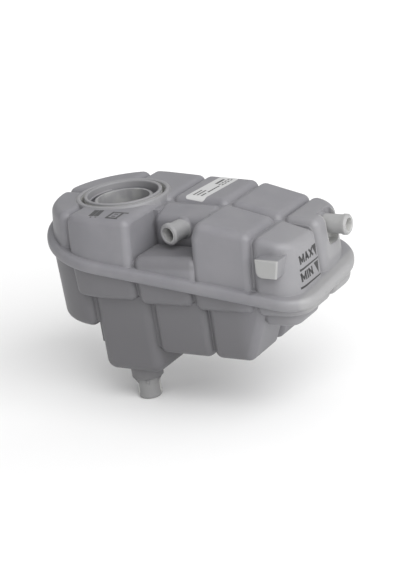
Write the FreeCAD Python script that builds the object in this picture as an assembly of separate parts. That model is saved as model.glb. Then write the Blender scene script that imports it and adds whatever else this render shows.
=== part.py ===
import FreeCAD, Part
import math
import os
from FreeCAD import Vector

# A coolant expansion tank: two hollow mouldings welded at an inclined flange, and a film label.
# X runs lengthwise from the filler end, Y across to the rear, Z up as installed.
# The origin is on the filler axis, at the lip of the inner sealing sleeve. Sizes in millimetres.

# Plan outline of the weld flange: the hull of three rounds
LEFT_END_X = 3.5
SPINE_Y = 2.5
LEFT_END_R = 68.5
FRONT_CORNER_X = 152.0
FRONT_CORNER_Y = -24.5
FRONT_CORNER_R = 25.5
REAR_CORNER_X = 139.0
REAR_CORNER_Y = 24.5
REAR_CORNER_R = 39.5

# The weld plane and its flange
SEAM_BELOW_LIP = 29.4
SEAM_FALL_DEG = 9.0
SEAM_CROSS_RISE_DEG = 4.5
FLANGE_HALF_THICKNESS = 5.0
FLANGE_EDGE_R = 3.8
FLANGE_EDGE_STEPS = 4
FLANGE_PROUD = 5.0
SADDLE_R = 7.0
SADDLE_DEPTH = 1.2

# Walls
WALL = 2.6
PARTITION = 2.8
WALL_DRAFT_DEG = 5.0
UPPER_END_SETBACK = 4.0
TIER_END_REACH = 2.5

# Grooves that part the cells; the front row's own places, and those of the deep chambers
GROOVE_1_X = -9.5
GROOVE_2_X = 41.2
GROOVE_3_X = 91.3
GROOVE_4_X = 136.2
FRONT_GROOVE_1_X = -18.0
FRONT_GROOVE_2_X = 38.0
FRONT_GROOVE_4_X = 134.0
TIER_GROOVE_3_X = 84.5
DEEP_GROOVE_2_X = 43.5
GROOVE_DEPTH = 4.2
GROOVE_GAP = 0.8
CELL_EDGE_R = 6.5
SUMP_EDGE_R = 9.0
WEB_HALF = 4.0
WEB_SHOULDER_R = 5.0

# Height of the cell tops along the tank
TOP_AT_LEFT_END = 2.2
TOP_AT_GROOVE_1 = 2.8
TOP_AT_GROOVE_2 = 1.4
TOP_AT_GROOVE_3 = 0.9
TOP_AT_GROOVE_4 = -8.6
TOP_AT_FRONT_RIGHT = -19.0
TOP_AT_REAR_RIGHT = -11.5

# Heights of the lower cells: the shallow tier under the flange and the deep chambers
TIER_BOTTOM_1 = -63.5
TIER_BOTTOM_2 = -66.0
TIER_BOTTOM_3 = -68.5
TIER_BOTTOM_4 = -69.5
BOWL_BOTTOM_FRONT = -80.5
BOWL_BOTTOM_REAR = -76.5
BOWL_SETBACK = 12.0
LEFT_CHAMBER_BOTTOM = -93.0
SUMP_BOTTOM = -129.5
CHAMBER_BOTTOM = -110.0

# Plan outline of the deep chambers
DEEP_LEFT_X = -11.5
DEEP_LEFT_INSET = 2.0
DEEP_HALF_WIDTH = 44.2
DEEP_RIGHT_X = 156.0
DEEP_RIGHT_R = 20.0
DEEP_DRAFT_DEG = 2.5
DEEP_TOP = -62.0
END_WALL_TOP_X = 139.0
END_WALL_BOTTOM_X = 124.0
END_WALL_TOP = -70.0

# Filler neck
BEAD_WIDTH = 4.0
BEAD_CREST = 3.8
BEAD_ROUND = 1.6
BEAD_SHOULDER_SHARE = 0.3
COLLAR_R = 30.7
COLLAR_WALL = 2.7
MOAT_WIDTH = 2.5
COLLAR_LIP = 4.4
MOAT_DEPTH = 11.0
SLEEVE_BORE_R = 20.5
SLEEVE_WALL = 2.6
NECK_FLOOR = -14.0
SLEEVE_LENGTH = 30.0
WELL_INSET = 0.3
WELL_BOTTOM = -85.0

# Front bay: the cell that is set back round the front spigot
BAY_WALL_Y = -21.0
BAY_TOP_DROP = 7.5
BAY_WALL_LEAN = 2.5
BAY_BLOCK_X = 86.5
BAY_BLOCK_SHOULDER = -12.0
LEDGE_TOP = -26.5

# Front spigot
FRONT_SPIGOT_X = 65.2
FRONT_SPIGOT_Z = -14.0
FRONT_SPIGOT_REACH = 16.5
FRONT_SPIGOT_TURN_DEG = 12.0
FRONT_SPIGOT_R = 7.5
FRONT_LIP_R = 8.4
FRONT_BORE_R = 5.6

# End spigot
END_SPIGOT_Y = 26.0
END_SPIGOT_Z = -20.0
END_SPIGOT_END_X = 180.5
END_SPIGOT_R = 7.25
END_LIP_R = 7.9
END_BORE_R = 5.2
LIP_LENGTH = 4.5
LIP_ROUND = 0.6
SPIGOT_FLARE = 1.0
SPIGOT_ROOT = 12.0
END_BAY_X = 158.0
END_BAY_Y0 = 16.5
END_BAY_Y1 = 35.5
END_BAY_FLOOR = -34.0
END_BAY_EDGE_R = 3.0

# Locating lug on the front wall
LUG_X0 = 142.3
LUG_X1 = 161.0
LUG_TAPER = 2.5
LUG_Z0 = -35.9
LUG_Z1 = -22.0
LUG_FACE_Y = -52.0
LUG_ROOT_Y = -33.0
LUG_EDGE_R = 1.2
LUG_CORNER_R = 5.0

# Bottom outlet
OUTLET_X = 15.5
OUTLET_Y = -23.5
OUTLET_R = 9.25
OUTLET_BORE_R = 6.9
OUTLET_MOUTH = -158.0
OUTLET_COLLAR_R = 12.9
OUTLET_COLLAR_HEIGHT = 10.0
OUTLET_LIP_R = 9.7
GUSSET_COUNT = 6
GUSSET_HEIGHT = 6.0
GUSSET_WIDTH = 2.0
GUSSET_INSET = 0.3

# Passages through the partitions
PASSAGE_R = 5.0
PASSAGE_DROP = 14.0
PASSAGE_OFFSET = 11.0
PASSAGE_REACH = 6.0

# Label
LABEL_THICKNESS = 0.25
LABEL_X = 62.0
LABEL_Y0 = 4.5
LABEL_WIDTH = 17.5
LABEL_LENGTH = 50.0
LABEL_TURN_DEG = 4.0
LABEL_CORNER_R = 2.5

# Construction limits well outside the tank
FAR = 400.0
MARGIN = 40.0
MARGIN_Y = 120.0
BODY_LOW = -140.0
MIDDLE_LOW = -100.0
BODY_HIGH = 20.0
UPPER_FLOOR = -90.0
LOWER_ROOF = 10.0
CUT_PAST = 1.0
SMOOTH_COSINE = 0.94
SHORTEST_EDGE = 0.5
FLAT_RISE = 0.5
TOUCHING = 0.1
SAME_PLANE = 0.01
BAY_COLUMN = 2
SUMP_COLUMN = 1
LEFT_X = LEFT_END_X - LEFT_END_R
RIGHT_X = REAR_CORNER_X + REAR_CORNER_R
DEEP_LEFT_R = DEEP_LEFT_X - LEFT_X - DEEP_LEFT_INSET
COLLAR_BORE_R = COLLAR_R - COLLAR_WALL
MOAT_R = COLLAR_R + MOAT_WIDTH
WELL_R = COLLAR_R + WALL - WELL_INSET
REAR_GROOVES = (GROOVE_1_X, GROOVE_2_X, GROOVE_3_X, GROOVE_4_X)
FRONT_GROOVES = (FRONT_GROOVE_1_X, FRONT_GROOVE_2_X, GROOVE_3_X, FRONT_GROOVE_4_X)
UPPER_GROOVES = {"front": FRONT_GROOVES, "rear": REAR_GROOVES}
TIER_GROOVES = {
    "front": (FRONT_GROOVE_1_X, FRONT_GROOVE_2_X, TIER_GROOVE_3_X, FRONT_GROOVE_4_X),
    "rear": REAR_GROOVES,
}
DEEP_GROOVES = (GROOVE_1_X, DEEP_GROOVE_2_X, GROOVE_3_X, GROOVE_4_X)
TOP_STATIONS = {
    row: (
        (LEFT_X, TOP_AT_LEFT_END),
        (GROOVE_1_X, TOP_AT_GROOVE_1),
        (GROOVE_2_X, TOP_AT_GROOVE_2),
        (GROOVE_3_X, TOP_AT_GROOVE_3),
        (GROOVE_4_X, TOP_AT_GROOVE_4),
        (RIGHT_X, right_end),
    )
    for row, right_end in (("front", TOP_AT_FRONT_RIGHT), ("rear", TOP_AT_REAR_RIGHT))
}
SEAM_FALL = math.tan(math.radians(SEAM_FALL_DEG))
SEAM_RISE = math.tan(math.radians(SEAM_CROSS_RISE_DEG))
WALL_DRAFT = math.tan(math.radians(WALL_DRAFT_DEG))
DEEP_DRAFT = math.tan(math.radians(DEEP_DRAFT_DEG))
SEAM_CENTRE = Vector(0, 0, -SEAM_BELOW_LIP)
SEAM_TURN = FreeCAD.Rotation(Vector(0, 0, 1), Vector(SEAM_FALL, -SEAM_RISE, 1))


# Small geometry helpers

def seam_z(x, y):
    return -SEAM_BELOW_LIP - SEAM_FALL * x + SEAM_RISE * y


def top_z(row, x):
    """Height of a row's cell tops at x, straight between the stations."""
    stations = TOP_STATIONS[row]
    for (xa, za), (xb, zb) in zip(stations, stations[1:]):
        if x <= xb:
            break
    return za + (zb - za) * (x - xa) / (xb - xa)


def flat_prism(points, direction):
    wire = Part.makePolygon(points + [points[0]])
    return Part.Face(wire).extrude(direction)


def prism_along_y(points, y0, y1):
    return flat_prism([Vector(x, y0, z) for x, z in points], Vector(0, y1 - y0, 0))


def prism_along_x(points, x0, x1):
    return flat_prism([Vector(x0, y, z) for y, z in points], Vector(x1 - x0, 0, 0))


def box(x0, x1, y0, y1, z0, z1):
    return Part.makeBox(x1 - x0, y1 - y0, z1 - z0, Vector(x0, y0, z0))


def hull_wire(rounds, z):
    """Closed wire round three circles, given counter-clockwise as (x, y, radius)."""
    normals = []
    count = len(rounds)
    for i in range(count):
        xa, ya, ra = rounds[i]
        xb, yb, rb = rounds[(i + 1) % count]
        span = math.hypot(xb - xa, yb - ya)
        heading = math.atan2(yb - ya, xb - xa)
        lean = math.asin((ra - rb) / span)
        normals.append(heading - math.pi / 2 + lean)
    edges = []
    for i in range(count):
        x, y, r = rounds[i]
        start = normals[i - 1]
        end = normals[i]
        while end < start:
            end += 2 * math.pi
        circle = Part.Circle(Vector(x, y, z), Vector(0, 0, 1), r)
        edges.append(Part.ArcOfCircle(circle, start, end).toShape())
        xn, yn, rn = rounds[(i + 1) % count]
        here = Vector(x + r * math.cos(end), y + r * math.sin(end), z)
        after = Vector(xn + rn * math.cos(end), yn + rn * math.sin(end), z)
        edges.append(Part.makeLine(here, after))
    return Part.Wire(edges)


def drafted_solid(rounds, taken_in, z_low, z_high):
    """Solid between two hull outlines, each round taken in by an amount that depends on the height."""
    wires = []
    for z in (z_low, z_high):
        shrunk = [(x, y, r - taken_in(x, y, z)) for x, y, r in rounds]
        wires.append(hull_wire(shrunk, z))
    return Part.makeLoft(wires, True, True)


def face_normal(face, place):
    u, v = face.Surface.parameter(place)
    return face.normalAt(u, v)


def sharp_edges(shape, keep):
    """Edges between faces that meet at an angle, and for which keep(edge) holds."""
    chosen = []
    for edge in shape.Edges:
        if edge.Length < SHORTEST_EDGE or not keep(edge):
            continue
        faces = shape.ancestorsOfType(edge, Part.Face)
        if len(faces) != 2:
            continue
        middle = edge.valueAt((edge.FirstParameter + edge.LastParameter) / 2)
        one = face_normal(faces[0], middle)
        other = face_normal(faces[1], middle)
        if one.dot(other) < SMOOTH_COSINE:
            chosen.append(edge)
    return chosen


def rounded(shape, radius, keep):
    edges = sharp_edges(shape, keep)
    return shape.makeFillet(radius, edges)


def not_in_plane_z(z):
    def keep(edge):
        b = edge.BoundBox
        return abs(b.ZMin - z) >= SAME_PLANE or abs(b.ZMax - z) >= SAME_PLANE
    return keep


# Outlines

def rounds_reaching(reach):
    """The three rounds of the plan outline, the right-hand corners moved outward by a reach."""
    return (
        (LEFT_END_X, SPINE_Y, LEFT_END_R),
        (FRONT_CORNER_X + reach, FRONT_CORNER_Y, FRONT_CORNER_R),
        (REAR_CORNER_X + reach, REAR_CORNER_Y, REAR_CORNER_R),
    )


FLANGE_ROUNDS = rounds_reaching(0)
DEEP_ROUNDS = (
    (DEEP_LEFT_X, SPINE_Y, DEEP_LEFT_R),
    (DEEP_RIGHT_X, SPINE_Y - DEEP_HALF_WIDTH + DEEP_RIGHT_R, DEEP_RIGHT_R),
    (DEEP_RIGHT_X, SPINE_Y + DEEP_HALF_WIDTH - DEEP_RIGHT_R, DEEP_RIGHT_R),
)


def upper_body(extra):
    """Drafted outer form of the upper half, taken in by a further amount."""
    def taken_in(x, y, z):
        return FLANGE_PROUD + extra + WALL_DRAFT * (z - seam_z(x, y))
    return drafted_solid(rounds_reaching(-UPPER_END_SETBACK), taken_in, MIDDLE_LOW, BODY_HIGH)


def tier_body(extra, reach):
    """Drafted outer form of the shallow tier under the flange."""
    def taken_in(x, y, z):
        return FLANGE_PROUD + extra + WALL_DRAFT * (seam_z(x, y) - z)
    return drafted_solid(rounds_reaching(reach), taken_in, MIDDLE_LOW, BODY_HIGH)


def deep_body(extra):
    """Drafted outer form of the deep chambers."""
    def taken_in(x, y, z):
        return extra + DEEP_DRAFT * (DEEP_TOP - z)
    return drafted_solid(DEEP_ROUNDS, taken_in, BODY_LOW, BODY_HIGH)


def above_seam(offset):
    corners = [Vector(x, y, seam_z(x, y) + offset)
               for x, y in ((-FAR, -FAR), (FAR, -FAR), (FAR, FAR), (-FAR, FAR))]
    return flat_prism(corners, Vector(0, 0, FAR))


def below_seam(offset):
    corners = [Vector(x, y, seam_z(x, y) + offset)
               for x, y in ((-FAR, -FAR), (FAR, -FAR), (FAR, FAR), (-FAR, FAR))]
    return flat_prism(corners, Vector(0, 0, -FAR))


def columns(grooves, half):
    """Spans between the grooves, each kept a half gap away from its grooves."""
    limits = (LEFT_X - MARGIN,) + grooves + (RIGHT_X + MARGIN,)
    return [(low + half, high - half) for low, high in zip(limits, limits[1:])]


def rows(half):
    """The front row and the rear row, each kept a half gap away from the spine groove."""
    return {"front": (-MARGIN_Y, SPINE_Y - half), "rear": (SPINE_Y + half, MARGIN_Y)}


def top_profile(row, x0, x1, drop, bottom):
    """Side profile under a row's cell tops between x0 and x1."""
    inner = [(x, z - drop) for x, z in TOP_STATIONS[row] if x0 < x < x1]
    points = [(x0, bottom), (x1, bottom), (x1, top_z(row, x1) - drop)]
    points += inner[::-1]
    points.append((x0, top_z(row, x0) - drop))
    return points


# The upper moulding

def bay_back(x0, x1, extra, half):
    """The set-back cell behind the front bay, its top falling toward the bay wall."""
    top = (TOP_AT_GROOVE_2 + TOP_AT_GROOVE_3) / 2 - extra
    wall_y = BAY_WALL_Y + extra
    profile = [(wall_y - BAY_WALL_LEAN, UPPER_FLOOR), (SPINE_Y - half, UPPER_FLOOR),
               (SPINE_Y - half, top), (wall_y, top - BAY_TOP_DROP)]
    return prism_along_x(profile, x0, x1)


def upper_cells(extra, half, finish):
    """The ten cells; extra is the wall taken off, half the half gap at the grooves."""
    body = upper_body(extra)
    cells = {}
    for row, (y0, y1) in rows(half).items():
        for number, (x0, x1) in enumerate(columns(UPPER_GROOVES[row], half)):
            if (number, row) == (BAY_COLUMN, "front"):
                cells["bay back"] = finish(bay_back(x0, x1, extra, half), UPPER_FLOOR, CELL_EDGE_R)
                ledge = box(x0, x1, y0, BAY_WALL_Y, UPPER_FLOOR, LEDGE_TOP - extra)
                cells["ledge"] = finish(ledge.common(body), UPPER_FLOOR, CELL_EDGE_R)
                continue
            profile = top_profile(row, x0, x1, extra, UPPER_FLOOR)
            if (number, row) == (BAY_COLUMN + 1, "front"):
                profile[0] = (BAY_BLOCK_X + extra, UPPER_FLOOR)
                profile.append((BAY_BLOCK_X + extra, BAY_BLOCK_SHOULDER))
            block = prism_along_y(profile, y0, y1).common(body)
            cells[number, row] = finish(block, UPPER_FLOOR, CELL_EDGE_R)
    return cells


def soften(block, open_z, edge_r):
    return rounded(block, edge_r, not_in_plane_z(open_z))


def cut_inside(block, open_z, edge_r):
    """Cut the inner edges so far that the wall keeps its thickness inside the outer rounding."""
    edges = sharp_edges(block, not_in_plane_z(open_z))
    return block.makeChamfer(edge_r - WALL, edges)


def shouldered(web, across):
    """A web with its shoulders rounded; across(bounds) tells an edge that crosses the web."""
    def shoulder(edge):
        b = edge.BoundBox
        return across(b) and b.ZLength < FLAT_RISE and b.ZMin > UPPER_FLOOR + CUT_PAST
    return rounded(web, WEB_SHOULDER_R, shoulder)


def upper_webs():
    """The webs that join the cells under the grooves."""
    body = upper_body(GROOVE_DEPTH)
    webs = []
    for row, (y0, y1) in rows(0).items():
        for groove in UPPER_GROOVES[row]:
            top = top_z(row, groove) - GROOVE_DEPTH
            block = box(groove - WEB_HALF, groove + WEB_HALF, y0, y1, UPPER_FLOOR, top)

            def at_outer_wall(b):
                return b.XLength > b.YLength and abs(b.YMin - SPINE_Y) > WEB_HALF
            webs.append(shouldered(block.common(body), at_outer_wall))
        profile = top_profile(row, LEFT_X - MARGIN, RIGHT_X + MARGIN, GROOVE_DEPTH, UPPER_FLOOR)
        spine = prism_along_y(profile, max(y0, SPINE_Y - WEB_HALF), min(y1, SPINE_Y + WEB_HALF))
        webs.append(shouldered(spine.common(body), lambda b: b.YLength > b.XLength))
    bay = box(FRONT_GROOVE_2_X - GROOVE_GAP / 2, GROOVE_3_X + GROOVE_GAP / 2, -MARGIN_Y,
              BAY_WALL_Y + GROOVE_DEPTH, LEDGE_TOP - GROOVE_DEPTH, BODY_HIGH)
    return [web.cut(bay) for web in webs]


def flange_half(side):
    """Half of the weld flange, stacked from outlines: side is 1 for the upper half, -1 for the lower."""
    rounds = []
    for x, y, r in FLANGE_ROUNDS:
        centre = SEAM_TURN.inverted().multVec(Vector(x, y, seam_z(x, y)) - SEAM_CENTRE)
        rounds.append((centre.x, centre.y, r))
    levels = [(0, 0)]
    for i in range(FLANGE_EDGE_STEPS + 1):
        angle = math.pi / 2 * i / FLANGE_EDGE_STEPS
        inset = FLANGE_EDGE_R * (1 - math.cos(angle))
        height = FLANGE_HALF_THICKNESS - FLANGE_EDGE_R * (1 - math.sin(angle))
        levels.append((inset, side * height))
    wires = [hull_wire([(x, y, r - inset) for x, y, r in rounds], height) for inset, height in levels]
    plate = Part.makeLoft(wires, True, True)
    plate.Placement = FreeCAD.Placement(SEAM_CENTRE, SEAM_TURN)
    return plate


def flange_saddles():
    """Shallow dents across the flange's top where the front grooves run out on it."""
    wall_y = FRONT_CORNER_Y - FRONT_CORNER_R + FLANGE_PROUD
    saddles = []
    for groove in FRONT_GROOVES[1:]:
        z = seam_z(groove, wall_y) + FLANGE_HALF_THICKNESS + SADDLE_R - SADDLE_DEPTH
        start = Vector(groove, -MARGIN_Y, z)
        saddles.append(Part.makeCylinder(SADDLE_R, wall_y + MARGIN_Y, start, Vector(0, 1, 0)))
    return saddles


def spigot(length, tube_r, lip_r):
    """Hose spigot along +Z from its root, with a lip at the mouth and a flare at the wall."""
    lip_z = length - LIP_LENGTH
    points = [(0, -SPIGOT_ROOT), (tube_r + SPIGOT_FLARE, -SPIGOT_ROOT), (tube_r + SPIGOT_FLARE, 0),
              (tube_r, SPIGOT_FLARE), (tube_r, lip_z - LIP_ROUND), (lip_r, lip_z + LIP_ROUND),
              (lip_r, length - 2 * LIP_ROUND), (lip_r - 2 * LIP_ROUND, length), (0, length)]
    return revolved(points)


def revolved(points):
    outline = [Vector(r, 0, z) for r, z in points]
    face = Part.Face(Part.makePolygon(outline + [outline[0]]))
    return face.revolve(Vector(0, 0, 0), Vector(0, 0, 1), 360)


def aimed(shape, place, direction):
    """Move a shape made along +Z to a place and turn it to a direction."""
    turn = FreeCAD.Rotation(Vector(0, 0, 1), direction)
    moved = shape.copy()
    moved.Placement = FreeCAD.Placement(place, turn)
    return moved


FRONT_TURN = math.radians(FRONT_SPIGOT_TURN_DEG)
FRONT_DIRECTION = Vector(-math.sin(FRONT_TURN), -math.cos(FRONT_TURN), 0)
FRONT_ROOT = Vector(FRONT_SPIGOT_X, BAY_WALL_Y, FRONT_SPIGOT_Z)
END_DIRECTION = Vector(1, 0, 0)
END_ROOT = Vector(END_BAY_X, END_SPIGOT_Y, END_SPIGOT_Z)


def locating_lug():
    profile = [(LUG_X0, LUG_Z0), (LUG_X1 - LUG_TAPER, LUG_Z0), (LUG_X1, LUG_Z1), (LUG_X0, LUG_Z1)]
    lug = prism_along_y(profile, LUG_FACE_Y, LUG_ROOT_Y)

    def low_left(edge):
        b = edge.BoundBox
        return b.XMax < LUG_X0 + TOUCHING and b.ZMax < LUG_Z0 + TOUCHING
    lug = rounded(lug, LUG_CORNER_R, low_left)

    def face_edge(edge):
        return edge.BoundBox.YMax < LUG_FACE_Y + TOUCHING
    return rounded(lug, LUG_EDGE_R, face_edge)


def end_bay():
    bay = box(END_BAY_X, RIGHT_X + MARGIN, END_BAY_Y0, END_BAY_Y1, END_BAY_FLOOR, BODY_HIGH)

    def inner_edge(edge):
        b = edge.BoundBox
        return b.XMin < END_BAY_X + TOUCHING and b.ZMin < BODY_HIGH - CUT_PAST
    return rounded(bay, END_BAY_EDGE_R, inner_edge)


def neck():
    """The filler neck turned about its axis: ring, moat, collar, gap and sealing sleeve."""
    sleeve_r = SLEEVE_BORE_R + SLEEVE_WALL
    root_r = COLLAR_R + WALL
    moat_floor = BEAD_CREST - MOAT_DEPTH
    bead_r = MOAT_R + BEAD_WIDTH
    shoulder = BEAD_SHOULDER_SHARE * BEAD_ROUND
    points = [
        (SLEEVE_BORE_R, -SLEEVE_LENGTH),
        (SLEEVE_BORE_R, 0),
        (sleeve_r - LIP_ROUND, 0),
        (sleeve_r, -LIP_ROUND),
        (sleeve_r, NECK_FLOOR),
        (COLLAR_BORE_R, NECK_FLOOR),
        (COLLAR_BORE_R, COLLAR_LIP - LIP_ROUND),
        (COLLAR_BORE_R + LIP_ROUND, COLLAR_LIP),
        (COLLAR_R - LIP_ROUND, COLLAR_LIP),
        (COLLAR_R, COLLAR_LIP - LIP_ROUND),
        (COLLAR_R, moat_floor),
        (MOAT_R, moat_floor),
        (MOAT_R, BEAD_CREST - BEAD_ROUND),
        (MOAT_R + shoulder, BEAD_CREST - shoulder),
        (MOAT_R + BEAD_ROUND, BEAD_CREST),
        (bead_r - BEAD_ROUND, BEAD_CREST),
        (bead_r - shoulder, BEAD_CREST - shoulder),
        (bead_r, BEAD_CREST - BEAD_ROUND),
        (bead_r, moat_floor),
        (MOAT_R + WALL, moat_floor - WALL),
        (root_r, moat_floor - WALL),
        (root_r, NECK_FLOOR - WALL),
        (sleeve_r, NECK_FLOOR - WALL),
        (sleeve_r, -SLEEVE_LENGTH),
    ]
    return revolved(points)


def row_middle(row):
    side = -1 if row == "front" else 1
    return SPINE_Y + side * PASSAGE_OFFSET


def passages(grooves, height_at):
    """Bores through the partitions, two across every groove and one across the spine in each column."""
    bores = []
    for row in ("front", "rear"):
        for groove in grooves[row]:
            start = Vector(groove - PASSAGE_REACH, row_middle(row), height_at(row, groove))
            bores.append(Part.makeCylinder(PASSAGE_R, 2 * PASSAGE_REACH, start, Vector(1, 0, 0)))
    for x0, x1 in columns(grooves["rear"], 0)[1:]:
        middle = (max(x0, LEFT_X) + min(x1, RIGHT_X)) / 2
        start = Vector(middle, SPINE_Y - PASSAGE_REACH, height_at("front", middle))
        bores.append(Part.makeCylinder(PASSAGE_R, 2 * PASSAGE_REACH, start, Vector(0, 1, 0)))
    return bores


def well():
    """Open shaft under the neck, where the partitions stop short."""
    height = BODY_HIGH - WELL_BOTTOM
    return Part.makeCylinder(WELL_R, height, Vector(0, 0, WELL_BOTTOM))


def upper_hollow():
    cells = upper_cells(WALL, PARTITION / 2, cut_inside)
    front_guard = box(FRONT_GROOVE_2_X - GROOVE_GAP / 2 - WALL, GROOVE_3_X + GROOVE_GAP / 2 + WALL,
                      -MARGIN_Y, BAY_WALL_Y + WALL, LEDGE_TOP - WALL, BODY_HIGH)
    end_guard = box(END_BAY_X - WALL, RIGHT_X + MARGIN, END_BAY_Y0 - WALL, END_BAY_Y1 + WALL,
                    END_BAY_FLOOR - WALL, BODY_HIGH)
    return [part.cut([front_guard, end_guard]) for part in cells.values()]


def upper_shell(cells):
    webs = upper_webs()
    solid = webs[0].fuse(webs[1:] + list(cells.values()))
    solid = solid.cut(end_bay())
    front_tube = aimed(spigot(FRONT_SPIGOT_REACH, FRONT_SPIGOT_R, FRONT_LIP_R),
                       FRONT_ROOT, FRONT_DIRECTION)
    end_tube = aimed(spigot(END_SPIGOT_END_X - END_BAY_X, END_SPIGOT_R, END_LIP_R),
                     END_ROOT, END_DIRECTION)
    solid = solid.fuse([flange_half(1).cut(flange_saddles()), front_tube, end_tube, locating_lug()])
    solid = solid.common(above_seam(0))
    shaft = Part.makeCylinder(MOAT_R + CUT_PAST, BODY_HIGH - NECK_FLOOR, Vector(0, 0, NECK_FLOOR))
    solid = solid.cut(upper_hollow())
    solid = solid.cut(passages(UPPER_GROOVES, lambda row, x: top_z(row, x) - PASSAGE_DROP))
    solid = solid.cut([shaft, well()])
    solid = solid.fuse(neck())
    bore_reach = 2 * SPIGOT_ROOT
    bores = [
        Part.makeCylinder(FRONT_BORE_R, FRONT_SPIGOT_REACH + bore_reach,
                          FRONT_ROOT - FRONT_DIRECTION * bore_reach, FRONT_DIRECTION),
        Part.makeCylinder(END_BORE_R, END_SPIGOT_END_X - END_BAY_X + bore_reach,
                          END_ROOT - END_DIRECTION * bore_reach, END_DIRECTION),
    ]
    return solid.cut(bores)


# The lower moulding

def deep_bottom(number, row):
    if number == 0:
        return LEFT_CHAMBER_BOTTOM
    if (number, row) == (SUMP_COLUMN, "front"):
        return SUMP_BOTTOM
    return CHAMBER_BOTTOM


def tier_bottom(number):
    return (TIER_BOTTOM_1, TIER_BOTTOM_2, TIER_BOTTOM_3, TIER_BOTTOM_4)[number - 1]


def end_wall_x(z):
    """The sloped end wall of the last deep chambers."""
    share = (z - CHAMBER_BOTTOM) / (END_WALL_TOP - CHAMBER_BOTTOM)
    return END_WALL_BOTTOM_X + (END_WALL_TOP_X - END_WALL_BOTTOM_X) * share


def lower_cells(extra, half, finish):
    tier = tier_body(extra, TIER_END_REACH)
    bowl = tier_body(BOWL_SETBACK - FLANGE_PROUD + extra, 0)
    deep = deep_body(extra)
    cells = {}
    for row, (y0, y1) in rows(half).items():
        spans = columns(TIER_GROOVES[row], half)
        for number in range(1, len(spans)):
            x0, x1 = spans[number]
            block = box(x0, x1, y0, y1, tier_bottom(number) + extra, LOWER_ROOF)
            cells["tier", number, row] = finish(block.common(tier), LOWER_ROOF, CELL_EDGE_R)
        x0, x1 = spans[-1]
        bowl_bottom = BOWL_BOTTOM_FRONT if row == "front" else BOWL_BOTTOM_REAR
        block = box(x0, x1, y0, y1, bowl_bottom + extra, LOWER_ROOF)
        cells["bowl", row] = finish(block.common(bowl), LOWER_ROOF, CELL_EDGE_R)
        spans = columns(DEEP_GROOVES, half)
        for number in range(len(spans) - 1):
            x0, x1 = spans[number]
            bottom = deep_bottom(number, row) + extra
            edge_r = SUMP_EDGE_R if (number, row) == (SUMP_COLUMN, "front") else CELL_EDGE_R
            roof = LOWER_ROOF
            if number == len(spans) - 2:
                roof = seam_z(GROOVE_3_X, DEEP_HALF_WIDTH) + CELL_EDGE_R
                profile = [(x0, bottom), (end_wall_x(bottom) - extra, bottom),
                           (end_wall_x(roof) - extra, roof), (x0, roof)]
                block = prism_along_y(profile, y0, y1)
            else:
                block = box(x0, x1, y0, y1, bottom, roof)
            cells["deep", number, row] = finish(block.common(deep), roof, edge_r)
    return cells


def lower_core():
    tier = tier_body(GROOVE_DEPTH, TIER_END_REACH)
    deep = deep_body(GROOVE_DEPTH)
    parts = []
    for row, (y0, y1) in rows(0).items():
        spans = columns(TIER_GROOVES[row], 0)
        for number in range(1, len(spans)):
            x0, x1 = spans[number]
            last = number == len(spans) - 1
            reach = x1 if last else x1 + GROOVE_GAP
            block = box(x0, reach, y0, y1, tier_bottom(number) + GROOVE_DEPTH, LOWER_ROOF)
            parts.append(block.common(tier))
    bottom = CHAMBER_BOTTOM + GROOVE_DEPTH
    step_x = GROOVE_1_X + GROOVE_GAP
    left_bottom = LEFT_CHAMBER_BOTTOM + GROOVE_DEPTH
    profile = [(LEFT_X - MARGIN, left_bottom), (step_x, left_bottom),
               (step_x, bottom), (end_wall_x(bottom) - GROOVE_DEPTH, bottom),
               (end_wall_x(LOWER_ROOF) - GROOVE_DEPTH, LOWER_ROOF), (LEFT_X - MARGIN, LOWER_ROOF)]
    parts.append(prism_along_y(profile, -MARGIN_Y, MARGIN_Y).common(deep))
    return parts[0].fuse(parts[1:])


def outlet():
    """The bottom outlet: collar with gussets, and the hose tube down to its mouth."""
    length = SUMP_BOTTOM - OUTLET_MOUTH
    tube = aimed(spigot(length, OUTLET_R, OUTLET_LIP_R),
                 Vector(OUTLET_X, OUTLET_Y, SUMP_BOTTOM), Vector(0, 0, -1))
    collar = Part.makeCylinder(OUTLET_COLLAR_R, OUTLET_COLLAR_HEIGHT + WALL,
                               Vector(OUTLET_X, OUTLET_Y, SUMP_BOTTOM - OUTLET_COLLAR_HEIGHT))
    parts = [collar]
    low = SUMP_BOTTOM - OUTLET_COLLAR_HEIGHT
    for i in range(GUSSET_COUNT):
        plate = flat_prism([Vector(0, -GUSSET_WIDTH / 2, low + WALL),
                            Vector(OUTLET_COLLAR_R - GUSSET_INSET, -GUSSET_WIDTH / 2, low + WALL),
                            Vector(OUTLET_COLLAR_R - GUSSET_INSET, -GUSSET_WIDTH / 2, low),
                            Vector(OUTLET_R, -GUSSET_WIDTH / 2, low - GUSSET_HEIGHT),
                            Vector(0, -GUSSET_WIDTH / 2, low - GUSSET_HEIGHT)],
                           Vector(0, GUSSET_WIDTH, 0))
        plate.rotate(Vector(0, 0, 0), Vector(0, 0, 1), 360.0 * i / GUSSET_COUNT)
        plate.translate(Vector(OUTLET_X, OUTLET_Y, 0))
        parts.append(plate)
    return tube.fuse(parts)


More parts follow.
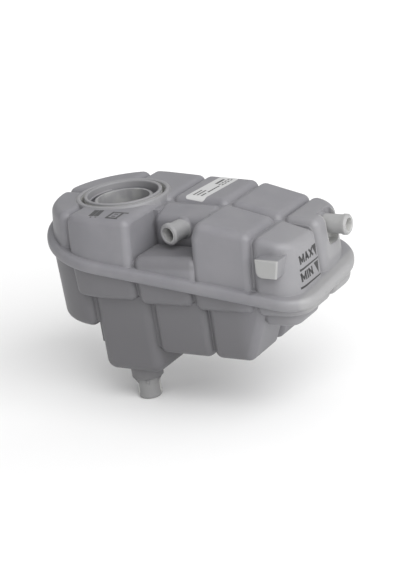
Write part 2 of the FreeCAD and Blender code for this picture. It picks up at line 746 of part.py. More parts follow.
def lower_shell():
    solid = lower_core().fuse(list(lower_cells(0.0, GROOVE_GAP / 2, soften).values()))
    solid = solid.fuse([flange_half(-1), outlet()])
    solid = solid.common(below_seam(0))
    solid = solid.cut(list(lower_cells(WALL, PARTITION / 2, cut_inside).values()))
    deep = {"front": DEEP_GROOVES, "rear": DEEP_GROOVES}
    solid = solid.cut(passages(deep, lambda row, x: seam_z(x, 0) - PASSAGE_DROP) + [well()])
    bore_low = OUTLET_MOUTH - CUT_PAST
    bore_high = SUMP_BOTTOM + 2 * WALL
    bore = Part.makeCylinder(OUTLET_BORE_R, bore_high - bore_low, Vector(OUTLET_X, OUTLET_Y, bore_low))
    return solid.cut(bore)


# The label

def label():
    """A film laid on the top of the rear cell behind the front bay, bent over its shoulder."""
    x0, x1 = columns(REAR_GROOVES, GROOVE_GAP / 2)[BAY_COLUMN]
    y0, y1 = rows(GROOVE_GAP / 2)["rear"]

    def cell(extra):
        profile = top_profile("rear", x0 - extra, x1 + extra, -extra, UPPER_FLOOR)
        block = prism_along_y(profile, y0 - extra, y1)
        return rounded(block.common(upper_body(-extra)), CELL_EDGE_R + extra, not_in_plane_z(UPPER_FLOOR))
    patch = box(LABEL_X - LABEL_WIDTH / 2, LABEL_X + LABEL_WIDTH / 2, LABEL_Y0, LABEL_Y0 + LABEL_LENGTH,
                -2 * CELL_EDGE_R, BODY_HIGH)
    patch = rounded(patch, LABEL_CORNER_R, lambda edge: edge.BoundBox.ZLength > CELL_EDGE_R)
    patch.rotate(Vector(LABEL_X, LABEL_Y0, 0), Vector(0, 0, 1), -LABEL_TURN_DEG)
    return cell(LABEL_THICKNESS).cut(cell(0.0)).common(patch)


def main():
    os.makedirs("parts", exist_ok=True)
    cells = upper_cells(0.0, GROOVE_GAP / 2, soften)
    nodes = {
        "upper_shell": upper_shell(cells),
        "lower_shell": lower_shell(),
        "label": label(),
    }
    for name, shape in nodes.items():
        shape.exportStep("parts/" + name + ".step")
        print(name, len(shape.Solids), "solid", round(shape.Volume / 1000, 1), "cm3",
              shape.isValid(), shape.BoundBox)


main()
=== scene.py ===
import bmesh
import bpy
import math
from mathutils import Matrix, Vector
from mathutils.bvhtree import BVHTree


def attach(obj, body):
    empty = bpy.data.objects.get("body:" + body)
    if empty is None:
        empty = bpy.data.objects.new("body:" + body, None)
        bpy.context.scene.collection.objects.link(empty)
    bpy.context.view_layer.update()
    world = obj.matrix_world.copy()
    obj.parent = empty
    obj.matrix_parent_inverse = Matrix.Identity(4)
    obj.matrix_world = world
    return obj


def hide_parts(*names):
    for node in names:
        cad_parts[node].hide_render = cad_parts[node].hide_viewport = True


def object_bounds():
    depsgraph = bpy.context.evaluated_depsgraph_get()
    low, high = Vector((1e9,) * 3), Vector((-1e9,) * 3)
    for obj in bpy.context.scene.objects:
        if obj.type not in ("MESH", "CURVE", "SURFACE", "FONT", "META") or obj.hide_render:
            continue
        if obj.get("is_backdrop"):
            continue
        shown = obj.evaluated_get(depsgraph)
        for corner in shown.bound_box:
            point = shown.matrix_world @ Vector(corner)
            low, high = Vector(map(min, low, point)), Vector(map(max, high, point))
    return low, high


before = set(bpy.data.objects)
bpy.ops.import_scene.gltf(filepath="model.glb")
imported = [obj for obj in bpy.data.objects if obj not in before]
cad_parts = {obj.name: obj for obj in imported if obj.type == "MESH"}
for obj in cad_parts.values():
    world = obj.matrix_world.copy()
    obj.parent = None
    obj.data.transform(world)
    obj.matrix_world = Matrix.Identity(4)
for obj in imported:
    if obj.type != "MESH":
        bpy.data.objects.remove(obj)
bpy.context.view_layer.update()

# Everything is in metres; lengths that are easier to read in millimetres are times MM.
MM = 0.001

# The camera: where it stands, what it looks at and which way is up in the picture
CAMERA_PLACE = Vector((652.6, -901.8, 338.9)) * MM
CAMERA_AIM = Vector((58.5, 2.5, -70.0)) * MM
CAMERA_UP = Vector((-0.084, 0.364, 0.928))
CAMERA_LENS = 93.7
CAMERA_SENSOR = 36.0
CAMERA_SIGHT = 50.0

# The weld seam falls to the right and rises to the rear
SEAM_Z = -29.4 * MM
SEAM_FALL = math.tan(math.radians(9.0))
SEAM_RISE = math.tan(math.radians(4.5))

# Smooth shading of the mouldings
MERGE_DISTANCE = 0.002 * MM
SHARP_DEG = 38.0

# The neck: its outer ring, the moat round its collar and the sleeve inside it
RING_R = 37.2 * MM
MOAT_MIDDLE_R = 31.95 * MM
MOAT_HALF = 1.3 * MM
SLEEVE_R = 23.1 * MM
SLEEVE_BOTTOM = -30.0 * MM
SLEEVE_LIT = -10.0 * MM

# Middles of the parts that stand out from the walls
FRONT_SPIGOT_PLACE = Vector((62.5, -30.5, -14.0)) * MM
END_SPIGOT_PLACE = Vector((172.0, 26.0, -20.0)) * MM
SPIGOT_BORE_R = 5.3 * MM
UNDER_END_BAY_PLACE = Vector((162.0, 26.0, -37.0)) * MM
END_BAY_FLOOR_PLACE = Vector((162.0, 26.0, -31.2)) * MM
END_BAY_FLOOR_HALF = Vector((5.3, 10.0, 3.2)) * MM
FLANGE_END_PLACE = Vector((178.0, 0.0, -57.0)) * MM
LUG_PLACE = Vector((151.6, -52.5, -29.0)) * MM
LEDGE_PLACE = Vector((64.0, -38.0, -30.0)) * MM
OUTLET_PLACE = Vector((15.5, -23.5, -151.0)) * MM
OUTLET_COLLAR_PLACE = Vector((15.5, -23.5, -136.0)) * MM

# Cap thread inside the collar of the neck
COLLAR_BORE_R = 28.0 * MM
THREAD_TURNS = 1.6
THREAD_PITCH = 5.0 * MM
THREAD_START_Z = -9.0 * MM
THREAD_HEIGHT = 1.0 * MM
THREAD_POINTS_PER_TURN = 96
THREAD_RIDGE_POINTS = 10

# Printed marks: thickness of the ink film, how far it stands off and the mesh step that follows the wall
INK_THICKNESS = 0.04 * MM
INK_LIFT = 0.02 * MM
INK_STEP = 1.0 * MM
RAY_START = 12.0 * MM

# Level marks on the end wall of the front row's last cell: a word, an arrow and a line under them
LEVEL_WALL_X = 167.0 * MM
LEVEL_RISE_DEG = 2.2
LEVEL_LINE_THICK = 1.6 * MM
LEVEL_LINE_THIN = 0.9 * MM
LEVEL_LETTER_HEIGHT = 6.4 * MM
LEVEL_LETTER_LIFT = 3.9 * MM
LEVEL_LETTER_GAP = 0.9 * MM
LEVEL_STROKE = 1.75 * MM
LEVEL_ARROW_WIDTH = 6.2 * MM
LEVEL_ARROW_LEAN = 1.2 * MM
LEVEL_ARROW_HEIGHT = 9.0 * MM
LEVEL_ARROW_LIFT = 2.0 * MM
LEVEL_ARROW_INSET = 0.6 * MM
MAX_LINE_START = (-29.6 * MM, -36.8 * MM)
MAX_LINE_LENGTH = 27.6 * MM
MAX_WORD_START = 1.6 * MM
MAX_WORD_WIDTH = 19.6 * MM
MIN_LINE_START = (-31.6 * MM, -49.6 * MM)
MIN_LINE_LENGTH = 28.6 * MM
MIN_WORD_START = 2.2 * MM
MIN_WORD_WIDTH = 16.6 * MM

# Plain letters as strokes in a box of height 1: each letter has its width and its strokes
LETTERS = {
    "M": (1.15, (((0, 0), (0, 1)), ((0, 1), (0.5, 0.2)), ((0.5, 0.2), (1, 1)), ((1, 1), (1, 0)))),
    "A": (0.85, (((0, 0), (0.5, 1)), ((0.5, 1), (1, 0)), ((0.2, 0.3), (0.8, 0.3)))),
    "X": (0.85, (((0, 0), (1, 1)), ((0, 1), (1, 0)))),
    "I": (0.0, (((0, 0), (0, 1)),)),
    "N": (0.85, (((0, 0), (0, 1)), ((0, 1), (1, 0)), ((1, 0), (1, 1)))),
}

# Two plain marks on the front cell beside the neck
MARK_PLANE_Z = 2.4 * MM
SOLID_MARK_PLACE = Vector((5.3, -45.1)) * MM
SOLID_MARK_SIZE = Vector((8.0, 12.8)) * MM
SOLID_MARK_TURN_DEG = 11.5
SOLID_MARK_SLOT = 0.35 * MM
FRAME_MARK_PLACE = Vector((22.3, -45.4)) * MM
FRAME_MARK_SIZE = Vector((10.2, 13.6)) * MM
FRAME_MARK_TURN_DEG = 4.4
FRAME_MARK_LINE = 1.8 * MM
FRAME_MARK_BARS = 2
MARK_DOT = 1.3 * MM

# Print on the label, along its length from the front edge
LABEL_MIDDLE = Vector((62.0, 4.5)) * MM
LABEL_TURN_DEG = 4.0
LABEL_PLANE_Z = 1.5 * MM
LABEL_LINE_WIDTH = 1.3 * MM
LABEL_LINES = ((-4.2, 5.5, 11.5), (-0.7, 5.5, 12.0), (3.4, 5.0, 6.5), (3.4, 14.0, 16.0))
LABEL_BOLD_LINE = (-2.2, 33.5, 11.5)
LABEL_BOLD_WIDTH = 2.2 * MM
LABEL_DASH_COLUMNS = (1.6, 4.4)
LABEL_DASH_START = 32.0
LABEL_DASH_STEP = 4.0
LABEL_DASH_LENGTH = 2.6
LABEL_DASHES = 4

# Floor, and the even light of the room
FLOOR_HALF = 6.0
ROOM_LIGHT = 0.57

# The two soft lights: place, aim, width and height, and watts
KEY_LIGHT = (Vector((1.3, -0.6, 1.0)), CAMERA_AIM, (1.8, 1.8), 37.0)
BACK_LIGHT = (Vector((-0.7, 1.1, 1.2)), Vector((-1.15, 2.0, 0.0)), (2.0, 1.2), 30.0)


# Meshes

def new_object(name, mesh):
    obj = bpy.data.objects.new(name, mesh)
    bpy.context.scene.collection.objects.link(obj)
    return obj


def bake_modifiers(obj):
    """Turn an object's modifiers into its mesh."""
    graph = bpy.context.evaluated_depsgraph_get()
    mesh = bpy.data.meshes.new_from_object(obj.evaluated_get(graph))
    obj.modifiers.clear()
    obj.data = mesh


def smooth_copy(node, name):
    """A merged, smoothly shaded copy of a moulding, with its flat faces kept flat."""
    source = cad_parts[node].data
    work = bmesh.new()
    work.from_mesh(source)
    bmesh.ops.remove_doubles(work, verts=work.verts, dist=MERGE_DISTANCE)
    mesh = bpy.data.meshes.new(name)
    work.to_mesh(mesh)
    work.free()
    mesh.materials.clear()
    for stored in ("custom_normal", "sharp_face"):
        mesh.attributes.remove(mesh.attributes[stored])
    mesh.set_sharp_from_angle(angle=math.radians(SHARP_DEG))
    obj = new_object(name, mesh)
    weighted = obj.modifiers.new("flat_faces", "WEIGHTED_NORMAL")
    weighted.mode = "FACE_AREA"
    weighted.weight = 50
    weighted.keep_sharp = True
    bake_modifiers(obj)
    return obj


def tree_of(obj):
    work = bmesh.new()
    work.from_mesh(obj.data)
    tree = BVHTree.FromBMesh(work)
    work.free()
    return tree


def polygon_mesh(name, outlines):
    """Flat mesh in XY from closed outlines of points."""
    work = bmesh.new()
    for outline in outlines:
        corners = [work.verts.new((x, y, 0)) for x, y in outline]
        work.faces.new(corners)
    mesh = bpy.data.meshes.new(name)
    work.to_mesh(mesh)
    work.free()
    return mesh


def stroke(start, end, width):
    """A straight stroke of a letter with square ends."""
    run = (end - start).normalized() * width / 2
    side = Vector((-run.y, run.x))
    corners = (start - run - side, end + run - side, end + run + side, start - run + side)
    return [tuple(corner) for corner in corners]


def word_outlines(word, start, lift, width, height):
    """The strokes of a printed word."""
    gaps = (len(word) - 1) * (LEVEL_STROKE + LEVEL_LETTER_GAP)
    parts = sum(LETTERS[letter][0] for letter in word)
    unit = (width - LEVEL_STROKE - gaps) / parts
    rise = height - LEVEL_STROKE
    origin = Vector((start + LEVEL_STROKE / 2, lift + LEVEL_STROKE / 2))
    outlines = []
    left = 0.0
    for letter in word:
        letter_width, strokes = LETTERS[letter]
        for start_point, end_point in strokes:
            low = origin + Vector((left + start_point[0] * letter_width * unit, start_point[1] * rise))
            high = origin + Vector((left + end_point[0] * letter_width * unit, end_point[1] * rise))
            outlines.append(stroke(low, high, LEVEL_STROKE))
        left += letter_width * unit + LEVEL_STROKE + LEVEL_LETTER_GAP
    return outlines


def cut_fine(work, step):
    """Cut a flat mesh along a grid so that it can follow a curved wall."""
    for axis in (0, 1):
        low = min(v.co[axis] for v in work.verts)
        high = max(v.co[axis] for v in work.verts)
        normal = Vector((1, 0, 0)) if axis == 0 else Vector((0, 1, 0))
        for i in range(1, int((high - low) / step) + 1):
            place = normal * (low + i * step)
            geometry = work.verts[:] + work.edges[:] + work.faces[:]
            bmesh.ops.bisect_plane(work, geom=geometry, plane_co=place, plane_no=normal)


def printed(name, outlines, place, along, upward, wall, finish):
    """Lay flat outlines on a wall: place is their origin, along and upward their axes."""
    outward = along.cross(upward)
    work = bmesh.new()
    work.from_mesh(polygon_mesh(name + "_flat", outlines))
    cut_fine(work, INK_STEP)
    for v in work.verts:
        start = place + along * v.co.x + upward * v.co.y + outward * RAY_START
        hit, normal, _, _ = wall.ray_cast(start, -outward)
        v.co = hit + normal * INK_LIFT
    bmesh.ops.recalc_face_normals(work, faces=work.faces)
    for face in work.faces:
        if face.normal.dot(outward) < 0:
            face.normal_flip()
    mesh = bpy.data.meshes.new(name)
    work.to_mesh(mesh)
    work.free()
    obj = new_object(name, mesh)
    film = obj.modifiers.new("film", "SOLIDIFY")
    film.thickness = INK_THICKNESS
    film.offset = 1.0
    bake_modifiers(obj)
    obj.data.materials.clear()
    obj.data.materials.append(finish)
    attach(obj, "root")


def rectangle(x0, x1, y0, y1):
    return [(x0, y0), (x1, y0), (x1, y1), (x0, y1)]


# Materials

class Value:
    """One socket of a material, with the operators that shader maths needs."""

    def __init__(self, finish, socket):
        self.finish = finish
        self.socket = socket

    def maths(self, operation, *others):
        return self.finish.node("ShaderNodeMath", {"operation": operation}, [self, *others])

    def __add__(self, other):
        return self.maths("ADD", other)

    def __radd__(self, other):
        return self + other

    def __sub__(self, other):
        return self.maths("SUBTRACT", other)

    def __rsub__(self, other):
        return self.finish.node("ShaderNodeMath", {"operation": "SUBTRACT"}, [other, self])

    def __mul__(self, other):
        return self.maths("MULTIPLY", other)

    def highest(self, other):
        return self.maths("MAXIMUM", other)

    def size(self):
        return self.maths("ABSOLUTE")


class Finish:
    """A procedural material with its Principled shader."""

    def __init__(self, name):
        self.material = bpy.data.materials.new(name)
        self.material.use_nodes = True
        self.tree = self.material.node_tree
        self.tree.nodes.clear()
        output = self.tree.nodes.new("ShaderNodeOutputMaterial")
        self.shader = self.tree.nodes.new("ShaderNodeBsdfPrincipled")
        self.tree.links.new(self.shader.outputs[0], output.inputs[0])
        coordinates = self.tree.nodes.new("ShaderNodeTexCoord")
        self.place = Value(self, coordinates.outputs["Object"])
        split = self.tree.nodes.new("ShaderNodeSeparateXYZ")
        self.tree.links.new(coordinates.outputs["Object"], split.inputs[0])
        self.x = Value(self, split.outputs[0])
        self.y = Value(self, split.outputs[1])
        self.z = Value(self, split.outputs[2])

    def node(self, kind, settings, inputs, output=0):
        """Add a node; inputs is a list by position or a dict by name, of values or links."""
        made = self.tree.nodes.new(kind)
        for name, value in settings.items():
            setattr(made, name, value)
        pairs = inputs.items() if isinstance(inputs, dict) else enumerate(inputs)
        for key, value in pairs:
            if isinstance(value, Value):
                self.tree.links.new(value.socket, made.inputs[key])
            else:
                made.inputs[key].default_value = value
        return Value(self, made.outputs[output])

    def noise(self, scale, detail=2.0, roughness=0.5):
        return self.node("ShaderNodeTexNoise", {},
                         {"Vector": self.place, "Scale": scale, "Detail": detail, "Roughness": roughness})

    def blend(self, factor, colour_a, colour_b):
        return self.node("ShaderNodeMix", {"data_type": "RGBA"},
                         {0: factor, 6: colour_a, 7: colour_b}, output=2)

    def band(self, value, low, high):
        """0 below low, 1 above high, smooth between."""
        return self.node("ShaderNodeMapRange", {"interpolation_type": "SMOOTHSTEP"},
                         {"Value": value, "From Min": low, "From Max": high})

    def from_line(self, across, up, across_centre, up_centre):
        """Distance from a straight axis, by the two coordinates square to it."""
        side = across - across_centre
        rise = up - up_centre
        return (side * side + rise * rise).maths("SQRT")

    def near_box(self, centre, half, fade):
        """1 inside a box, falling to 0 over the fade outside it."""
        mask = None
        for value, middle, reach in zip((self.x, self.y, self.z), centre, half):
            away = (value - middle).size()
            side = self.band(away, reach + fade, reach)
            mask = side if mask is None else mask * side
        return mask

    def set(self, name, value):
        socket = self.shader.inputs[name]
        if isinstance(value, Value):
            self.tree.links.new(value.socket, socket)
        else:
            socket.default_value = value


# Colours of the plastic: its cloudy body, painted shade below the weld flange over the deep chambers,
# painted light where it is thin, and painted glow in its bores and hollows
GREY = (0.214, 0.211, 0.225, 1.0)
GREY_COOL = (0.196, 0.194, 0.209, 1.0)
GREY_PAINTED_SHADE = (0.119, 0.117, 0.124, 1.0)
GREY_PAINTED_LIGHT = (0.345, 0.345, 0.342, 1.0)
GREY_PAINTED_GLOW = (0.50, 0.50, 0.49, 1.0)

# Painted light where the wall is thin or stands free, and over the shade under the end bay and at the
# flange's end: middle, half size, fade around it and how much
PAINTED_LIGHT_PLACES = (
    (FRONT_SPIGOT_PLACE, Vector((10.0, 7.5, 9.0)) * MM, 1.5 * MM, 0.5),
    (END_SPIGOT_PLACE, Vector((10.0, 10.0, 10.0)) * MM, 1.5 * MM, 0.85),
    (UNDER_END_BAY_PLACE, Vector((9.0, 12.0, 4.0)) * MM, 8.0 * MM, 0.45),
    (FLANGE_END_PLACE, Vector((6.0, 45.0, 10.0)) * MM, 6.0 * MM, 0.6),
    (LUG_PLACE, Vector((11.0, 1.4, 9.0)) * MM, 1.5 * MM, 1.1),
    (OUTLET_PLACE, Vector((12.0, 12.0, 9.0)) * MM, 1.5 * MM, 0.55),
    (OUTLET_COLLAR_PLACE, Vector((15.0, 15.0, 7.0)) * MM, 1.5 * MM, 0.15),
)

# Painted shade on the back of the ledge in the front bay, where shade falls: middle, half size, fade around
# it and how much
PAINTED_SHADE_PLACES = (
    (LEDGE_PLACE, Vector((23.0, 17.0, 3.0)) * MM, 4.0 * MM, 0.45),
)


def natural_plastic():
    """Natural polypropylene: faintly cloudy, with painted shade over the deep chambers below the weld
    flange, painted light where it is thin, and painted glow in its bores and hollows.
    """
    f = Finish("natural_plastic")
    cloud = f.noise(38.0, 3.0, 0.55)
    grain = f.noise(900.0, 2.0, 0.6)
    colour = f.blend(f.band(cloud, 0.35, 0.68), GREY_COOL, GREY)
    # Painted shade: darker below the weld flange and further down, less so towards the right end, and on the
    # back of the ledge
    over_seam = f.z - SEAM_Z + f.x * SEAM_FALL - f.y * SEAM_RISE
    under_flange = f.band(over_seam, -3.0 * MM, -8.0 * MM)
    far_down = f.band(over_seam, -8.0 * MM, -70.0 * MM)
    right_end = f.band(f.x, 114.0 * MM, 134.0 * MM)
    painted_shade = (under_flange * 0.72 + far_down * 0.28) * (1.0 - right_end * 0.7)
    for centre, half, fade, amount in PAINTED_SHADE_PLACES:
        painted_shade = painted_shade.highest(f.near_box(centre, half, fade) * amount)
    colour = f.blend(painted_shade, colour, GREY_PAINTED_SHADE)
    # Painted light: paler towards the right end, where the key light falls, and at the places listed
    painted_light = f.band(f.x, 125.0 * MM, 190.0 * MM) * 0.35
    for centre, half, fade, amount in PAINTED_LIGHT_PLACES:
        painted_light = painted_light.highest(f.near_box(centre, half, fade) * amount)
    from_neck = f.from_line(f.x, f.y, 0.0, 0.0)
    # Painted light inside the sleeve, with paler streaks
    sleeve = f.band(from_neck, SLEEVE_R + 0.5 * MM, SLEEVE_R - 0.2 * MM)
    sleeve = sleeve * f.band(f.z, SLEEVE_BOTTOM, SLEEVE_LIT)
    sleeve_light_streaks = f.band(f.noise(90.0, 2.0, 0.5), 0.35, 0.65)
    painted_light = painted_light.highest(sleeve * (0.35 + sleeve_light_streaks * 0.5))
    # Painted light on the neck's outer ring
    ring = f.band(from_neck, RING_R + 1.0 * MM, RING_R) * f.band(f.z, -3.0 * MM, 1.5 * MM)
    painted_light = painted_light.highest(ring * 0.3)
    colour = f.blend(painted_light, colour, GREY_PAINTED_LIGHT)
    # Painted glow: the moat, the spigots' bores and the end bay's floor are lit up in colour where shade
    # would fall
    moat = f.band((from_neck - MOAT_MIDDLE_R).size(), MOAT_HALF + 0.4 * MM, MOAT_HALF)
    painted_glow = moat * f.band(f.z, 3.4 * MM, 2.0 * MM)
    from_end_spigot = f.from_line(f.y, f.z, END_SPIGOT_PLACE.y, END_SPIGOT_PLACE.z)
    bore = f.band(from_end_spigot, SPIGOT_BORE_R + 0.5 * MM, SPIGOT_BORE_R)
    painted_glow = painted_glow.highest(bore * f.band(f.x, 158.0 * MM, 172.0 * MM))
    from_front_spigot = f.from_line(f.x, f.z, FRONT_SPIGOT_PLACE.x, FRONT_SPIGOT_PLACE.z)
    bore = f.band(from_front_spigot, SPIGOT_BORE_R + 0.8 * MM, SPIGOT_BORE_R + 0.3 * MM)
    painted_glow = painted_glow.highest(bore * f.band(f.y, -18.0 * MM, -26.0 * MM) * 0.6)
    bay_floor = f.near_box(END_BAY_FLOOR_PLACE, END_BAY_FLOOR_HALF, 0.5 * MM)
    painted_glow = painted_glow.highest(bay_floor * 0.9)
    colour = f.blend(painted_glow, colour, GREY_PAINTED_GLOW)
    f.set("Base Color", colour)
    f.set("Roughness", 0.40 + cloud * 0.12)
    f.set("Subsurface Weight", 0.15)
    f.set("Subsurface Radius", (0.9, 0.9, 1.0))
    f.set("Subsurface Scale", 3.0 * MM)
    f.set("IOR", 1.49)
    bevel = f.node("ShaderNodeBevel", {"samples": 6}, {"Radius": 1.1 * MM})
    plain = f.node("ShaderNodeNewGeometry", {}, {}, output="Normal")
    seam = f.band(over_seam.size(), 2.4 * MM, 1.4 * MM)
    rounded = f.node("ShaderNodeMix", {"data_type": "VECTOR"}, {0: seam, 4: bevel, 5: plain}, output=1)
    bump = f.node("ShaderNodeBump", {}, {"Strength": 0.10, "Distance": 0.15 * MM,
                                         "Height": grain * 0.35 + cloud, "Normal": rounded})
    f.set("Normal", bump)
    return f.material


def ink(name, colour):
    f = Finish(name)
    patchy = f.noise(1400.0, 2.0, 0.5)
    f.set("Base Color", f.blend(f.band(patchy, 0.3, 0.75), colour, [c * 1.5 for c in colour[:3]] + [1.0]))
    f.set("Roughness", 0.45 + patchy * 0.15)
    return f.material


def stage_finish():
    f = Finish("pale_floor")
    speck = f.noise(3.0, 2.0, 0.5)
    f.set("Base Color", f.blend(speck, (0.90, 0.90, 0.90, 1.0), (0.92, 0.92, 0.92, 1.0)))
    f.set("Roughness", 0.9)
    f.set("Specular IOR Level", 0.1)
    return f.material


plastic = natural_plastic()
dark_ink = ink("dark_ink", (0.030, 0.030, 0.031, 1.0))
soft_ink = ink("soft_ink", (0.042, 0.042, 0.044, 1.0))


# The two mouldings

def moulding(node, name):
    piece = smooth_copy(node, name)
    piece.data.materials.append(plastic)
    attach(piece, "root")
    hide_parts(node)
    return piece


upper = moulding("upper_shell", "upper_moulding")
moulding("lower_shell", "lower_moulding")
upper_wall = tree_of(upper)


# Label

def label_paper():
    f = Finish("label_film")
    fibre = f.noise(700.0, 3.0, 0.6)
    f.set("Base Color", f.blend(fibre, (0.50, 0.50, 0.50, 1.0), (0.55, 0.55, 0.55, 1.0)))
    f.set("Roughness", 0.42 + fibre * 0.1)
    return f.material


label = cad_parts["label"]
label.data.materials.clear()
label.data.materials.append(label_paper())


# Printed marks

def turned(angle_deg):
    """Unit axes of a flat frame turned about Z."""
    angle = math.radians(angle_deg)
    along = Vector((math.cos(angle), math.sin(angle), 0))
    upward = Vector((-math.sin(angle), math.cos(angle), 0))
    return along, upward


def level_mark(name, word, line_start, line_length, word_start, word_width):
    outlines = word_outlines(word, word_start, LEVEL_LETTER_LIFT, word_width, LEVEL_LETTER_HEIGHT)
    outlines.append([
        (0, -LEVEL_LINE_THICK / 2), (line_length, -LEVEL_LINE_THIN / 2),
        (line_length, LEVEL_LINE_THIN / 2), (0, LEVEL_LINE_THICK / 2)])
    right = line_length - LEVEL_ARROW_INSET
    middle = right - LEVEL_ARROW_WIDTH / 2 + LEVEL_ARROW_LEAN
    top = LEVEL_ARROW_LIFT + LEVEL_ARROW_HEIGHT
    outlines.append([(middle, LEVEL_ARROW_LIFT), (right, top), (right - LEVEL_ARROW_WIDTH, top)])
    rise = math.radians(LEVEL_RISE_DEG)
    along = Vector((0, math.cos(rise), math.sin(rise)))
    upward = Vector((0, -math.sin(rise), math.cos(rise)))
    place = Vector((LEVEL_WALL_X, line_start[0], line_start[1]))
    printed(name, outlines, place, along, upward, upper_wall, dark_ink)


def top_mark(name, outlines, centre, turn_deg):
    along, upward = turned(turn_deg)
    place = Vector((centre.x, centre.y, MARK_PLANE_Z))
    printed(name, outlines, place, along, upward, upper_wall, soft_ink)


def solid_mark():
    """A dark field with a fine slot, and two dots in front of it."""
    w, h = SOLID_MARK_SIZE / 2
    slot = SOLID_MARK_SLOT / 2
    outlines = [
        rectangle(-w, -slot, -h, h),
        rectangle(slot, w, -h, h),
    ]
    for x in (-w / 2, w / 2):
        outlines.append(rectangle(x, x + MARK_DOT, -h - 2 * MARK_DOT, -h - MARK_DOT))
    top_mark("solid_mark", outlines, SOLID_MARK_PLACE, SOLID_MARK_TURN_DEG)


def frame_mark():
    """An open frame with cross bars and a tab at its far corner."""
    w, h = FRAME_MARK_SIZE / 2
    line = FRAME_MARK_LINE
    outlines = [
        rectangle(-w, w, -h, -h + line),
        rectangle(-w, w, h - line, h),
        rectangle(-w, -w + line, -h + line, h - line),
        rectangle(w - line, w, -h + line, h - line),
        rectangle(w, w + 2 * line, h - line, h),
    ]
    for i in range(FRAME_MARK_BARS):
        y = -h + (i + 1) * 2 * h / (FRAME_MARK_BARS + 1)
        outlines.append(rectangle(-w + 2 * line, w - 2 * line, y - line / 2, y + line / 2))
    top_mark("frame_mark", outlines, FRAME_MARK_PLACE, FRAME_MARK_TURN_DEG)


def label_print():
    """Plain lines and dashes in place of the label's text."""
    def bar(across, start, length, width):
        return rectangle(across * MM - width / 2, across * MM + width / 2, start * MM, (start + length) * MM)
    outlines = [bar(across, start, length, LABEL_LINE_WIDTH) for across, start, length in LABEL_LINES]
    outlines.append(bar(*LABEL_BOLD_LINE, LABEL_BOLD_WIDTH))
    for across in LABEL_DASH_COLUMNS:
        for i in range(LABEL_DASHES):
            start = LABEL_DASH_START + i * LABEL_DASH_STEP
            outlines.append(bar(across, start, LABEL_DASH_LENGTH, LABEL_LINE_WIDTH))
    along, upward = turned(-LABEL_TURN_DEG)
    place = Vector((LABEL_MIDDLE.x, LABEL_MIDDLE.y, LABEL_PLANE_Z))
    printed("label_print", outlines, place, along, upward, tree_of(label), soft_ink)


level_mark("max_mark", "MAX", MAX_LINE_START, MAX_LINE_LENGTH, MAX_WORD_START, MAX_WORD_WIDTH)
level_mark("min_mark", "MIN", MIN_LINE_START, MIN_LINE_LENGTH, MIN_WORD_START, MIN_WORD_WIDTH)
solid_mark()
frame_mark()
label_print()


# Cap thread

def thread_tree():
    """Geometry Nodes: a helix of the given radius, turns and pitch, swept with a small rounded ridge."""
    tree = bpy.data.node_groups.new("cap_thread", "GeometryNodeTree")
    face = tree.interface
    face.new_socket("Geometry", in_out="OUTPUT", socket_type="NodeSocketGeometry")
    kinds = {"Radius": "Float", "Rise": "Float", "Turns": "Float", "Ridge": "Float", "Material": "Material"}
    sizes = {}
    for name, kind in kinds.items():
        sizes[name] = face.new_socket(name, in_out="INPUT", socket_type="NodeSocket" + kind).identifier
    nodes = tree.nodes
    links = tree.links
    given = nodes.new("NodeGroupInput")
    result = nodes.new("NodeGroupOutput")
    spiral = nodes.new("GeometryNodeCurveSpiral")
    spiral.inputs["Resolution"].default_value = THREAD_POINTS_PER_TURN
    links.new(given.outputs["Radius"], spiral.inputs["Start Radius"])
    links.new(given.outputs["Radius"], spiral.inputs["End Radius"])
    links.new(given.outputs["Rise"], spiral.inputs["Height"])
    links.new(given.outputs["Turns"], spiral.inputs["Rotations"])
    ring = nodes.new("GeometryNodeCurvePrimitiveCircle")
    ring.inputs["Resolution"].default_value = THREAD_RIDGE_POINTS
    links.new(given.outputs["Ridge"], ring.inputs["Radius"])
    sweep = nodes.new("GeometryNodeCurveToMesh")
    sweep.inputs["Fill Caps"].default_value = True
    links.new(spiral.outputs[0], sweep.inputs["Curve"])
    links.new(ring.outputs[0], sweep.inputs["Profile Curve"])
    shade = nodes.new("GeometryNodeSetShadeSmooth")
    links.new(sweep.outputs[0], shade.inputs[0])
    real = nodes.new("GeometryNodeRealizeInstances")
    links.new(shade.outputs[0], real.inputs[0])
    paint = nodes.new("GeometryNodeSetMaterial")
    links.new(real.outputs[0], paint.inputs[0])
    links.new(given.outputs["Material"], paint.inputs["Material"])
    links.new(paint.outputs[0], result.inputs[0])
    return tree, sizes


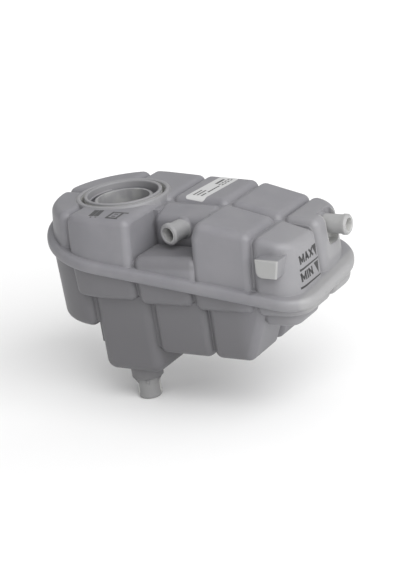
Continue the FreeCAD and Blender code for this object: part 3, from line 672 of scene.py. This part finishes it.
def cap_thread():
    tree, sizes = thread_tree()
    obj = new_object("cap_thread", bpy.data.meshes.new("cap_thread"))
    maker = obj.modifiers.new("thread", "NODES")
    maker.node_group = tree
    maker[sizes["Radius"]] = COLLAR_BORE_R
    maker[sizes["Rise"]] = THREAD_TURNS * THREAD_PITCH
    maker[sizes["Turns"]] = THREAD_TURNS
    maker[sizes["Ridge"]] = THREAD_HEIGHT
    maker[sizes["Material"]] = plastic
    bake_modifiers(obj)
    for v in obj.data.vertices:
        v.co.z += THREAD_START_Z
    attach(obj, "root")


cap_thread()


# Floor, light and camera

def floor():
    low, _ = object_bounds()
    mesh = polygon_mesh("floor", [rectangle(-FLOOR_HALF, FLOOR_HALF, -FLOOR_HALF, FLOOR_HALF)])
    obj = new_object("floor", mesh)
    obj.location.z = low[2]
    obj.data.materials.append(stage_finish())
    obj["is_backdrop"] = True


def softbox(name, place, aim, size, power):
    lamp = bpy.data.lights.new(name, "AREA")
    lamp.shape = "RECTANGLE"
    lamp.size, lamp.size_y = size
    lamp.energy = power
    obj = bpy.data.objects.new(name, lamp)
    bpy.context.scene.collection.objects.link(obj)
    turn = (aim - place).to_track_quat("-Z", "Y").to_matrix().to_4x4()
    obj.matrix_world = Matrix.Translation(place) @ turn


def camera():
    data = bpy.data.cameras.new("camera")
    data.sensor_width = CAMERA_SENSOR
    data.lens = CAMERA_LENS
    data.clip_end = CAMERA_SIGHT
    obj = bpy.data.objects.new("camera", data)
    bpy.context.scene.collection.objects.link(obj)
    back = (CAMERA_PLACE - CAMERA_AIM).normalized()
    right = CAMERA_UP.cross(back).normalized()
    up = back.cross(right)
    turn = Matrix((right, up, back)).transposed().to_4x4()
    obj.matrix_world = Matrix.Translation(CAMERA_PLACE) @ turn
    bpy.context.scene.camera = obj


def daylight():
    world = bpy.data.worlds.new("daylight")
    world.use_nodes = True
    sky = world.node_tree.nodes["Background"]
    sky.inputs["Color"].default_value = (1.0, 1.0, 1.0, 1.0)
    sky.inputs["Strength"].default_value = ROOM_LIGHT
    bpy.context.scene.world = world
    bpy.context.scene.view_settings.view_transform = "Standard"


floor()
daylight()
softbox("key", *KEY_LIGHT)
softbox("back", *BACK_LIGHT)
camera()
